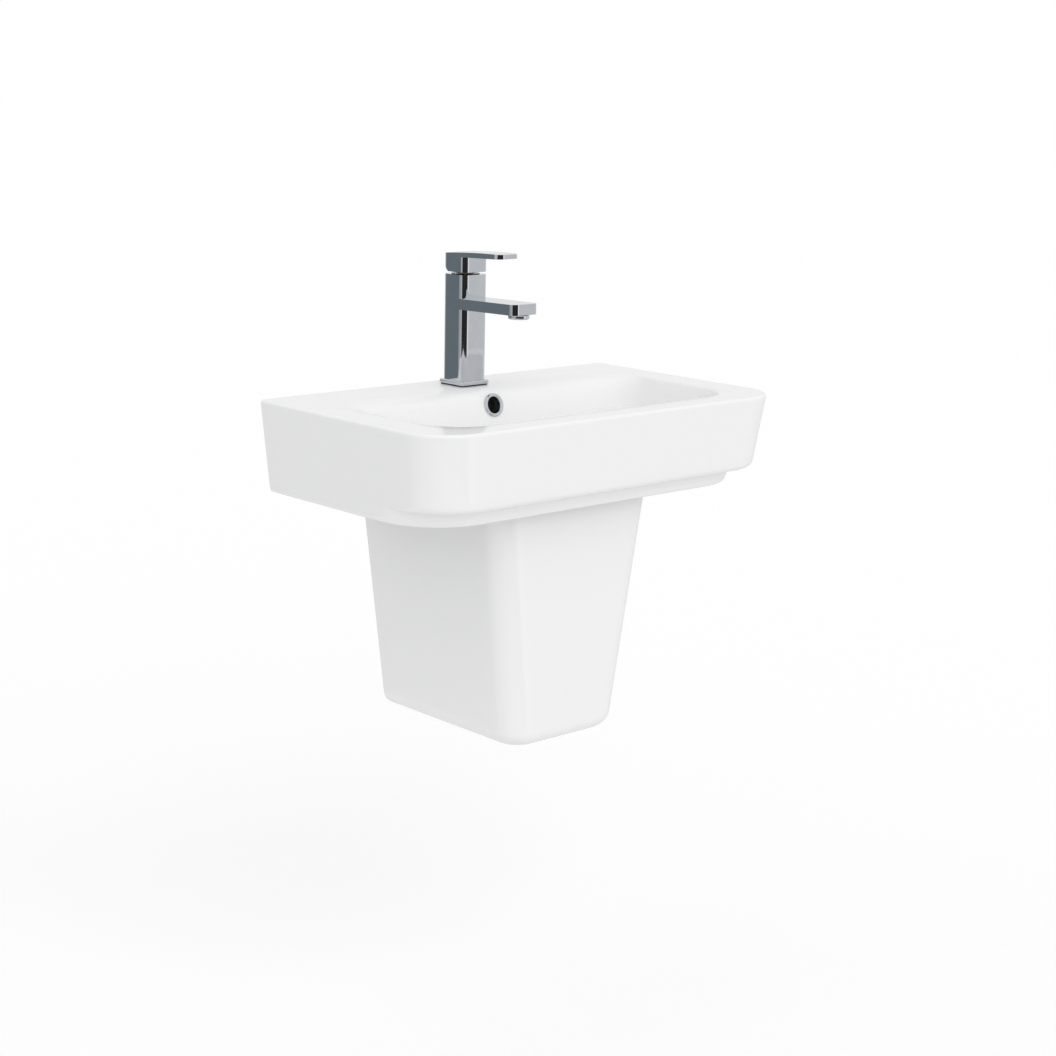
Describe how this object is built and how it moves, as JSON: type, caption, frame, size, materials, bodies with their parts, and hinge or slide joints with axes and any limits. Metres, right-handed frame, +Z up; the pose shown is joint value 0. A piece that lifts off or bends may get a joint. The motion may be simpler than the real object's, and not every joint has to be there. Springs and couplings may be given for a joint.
{
  "type": "wall-hung washbasin",
  "caption": "Wall-hung rectangular ceramic washbasin with a tapered semi-pedestal, a square chrome single-lever mixer tap, pop-up waste and bottle trap.",
  "frame": {"origin": "on the wall plane, midway between the two basin bolts, 80 mm below the rim", "axes": "+X to the right seen from the room, +Y into the wall, +Z up; the front faces -Y"},
  "size_m": [0.5992, 0.3577, 0.6237],
  "materials": {
    "ceramic": "gloss",
    "chrome": "polished",
    "steel": "satin",
    "dark_chrome": "polished",
    "brass": "satin",
    "rubber": "matte",
    "nylon": "satin",
    "acetal": "satin",
    "braid": "satin"
  },
  "bodies": {
    "basin_set": {"basin": "ceramic", "semi_pedestal": "ceramic", "overflow_ring": "chrome", "tap_base_plate": "chrome", "tap_body": "chrome", "aerator_housing": "chrome", "waste_body": "chrome", "trap_inlet_nut": "chrome", "trap_inlet_pipe": "chrome", "trap_body": "chrome", "trap_cup": "chrome", "trap_outlet_nut": "chrome", "trap_outlet_pipe": "chrome", "trap_rosette": "chrome", "valve_rosette_hot": "chrome", "valve_body_hot": "chrome", "hose_nut_hot": "chrome", "supply_hose_hot": "braid", "hose_tail_hot": "brass", "valve_rosette_cold": "chrome", "valve_body_cold": "chrome", "hose_nut_cold": "chrome", "supply_hose_cold": "braid", "hose_tail_cold": "brass", "basin_bolt_left": "steel", "basin_washer_left": "steel", "basin_nut_left": "steel", "pedestal_bolt_left": "steel", "pedestal_nut_left": "steel", "basin_bush_left": "nylon", "pedestal_washer_left": "nylon", "basin_bolt_right": "steel", "basin_washer_right": "steel", "basin_nut_right": "steel", "pedestal_bolt_right": "steel", "pedestal_nut_right": "steel", "basin_bush_right": "nylon", "pedestal_washer_right": "nylon", "tap_stud": "steel", "tap_clamp_plate": "steel", "cartridge_nut": "dark_chrome", "tap_clamp_nut": "brass", "waste_nut": "brass", "tap_gasket": "rubber", "tap_clamp_seal": "rubber", "waste_seal": "rubber", "waste_under_seal": "rubber", "aerator_insert": "nylon", "cartridge_body": "nylon", "waste_bridge": "nylon"},
    "tap_spindle": {"cartridge_spindle": "acetal", "lever_pin": "steel"},
    "lever": {"lever_handle": "chrome", "lever_stem": "brass", "lever_grub_screw": "steel", "lever_screw_cap": "nylon"},
    "waste_plug": {"waste_plug": "chrome", "waste_plug_stem": "steel"},
    "valve_knob_hot": {"valve_knob_hot": "chrome"},
    "valve_knob_cold": {"valve_knob_cold": "chrome"}
  },
  "joints": [
    {"name": "temperature", "type": "hinge", "parent": "basin_set", "child": "tap_spindle", "pos_m": [0, -0.049, 0.218], "axis": [0, 0, 1], "range_deg": [-45, 45]},
    {"name": "flow", "type": "hinge", "parent": "tap_spindle", "child": "lever", "pos_m": [0, -0.043, 0.2245], "axis": [-1, 0, 0], "range_deg": [0, 20]},
    {"name": "plug_lift", "type": "slide", "parent": "basin_set", "child": "waste_plug", "axis": [0, 0, 1], "range_m": [0, 0.008]},
    {"name": "valve_hot_turn", "type": "hinge", "parent": "basin_set", "child": "valve_knob_hot", "pos_m": [-0.058, -0.07, -0.265], "axis": [0, 1, 0], "range_deg": [0, 90]},
    {"name": "valve_cold_turn", "type": "hinge", "parent": "basin_set", "child": "valve_knob_cold", "pos_m": [0.058, -0.07, -0.265], "axis": [0, 1, 0], "range_deg": [0, 90]}
  ]
}
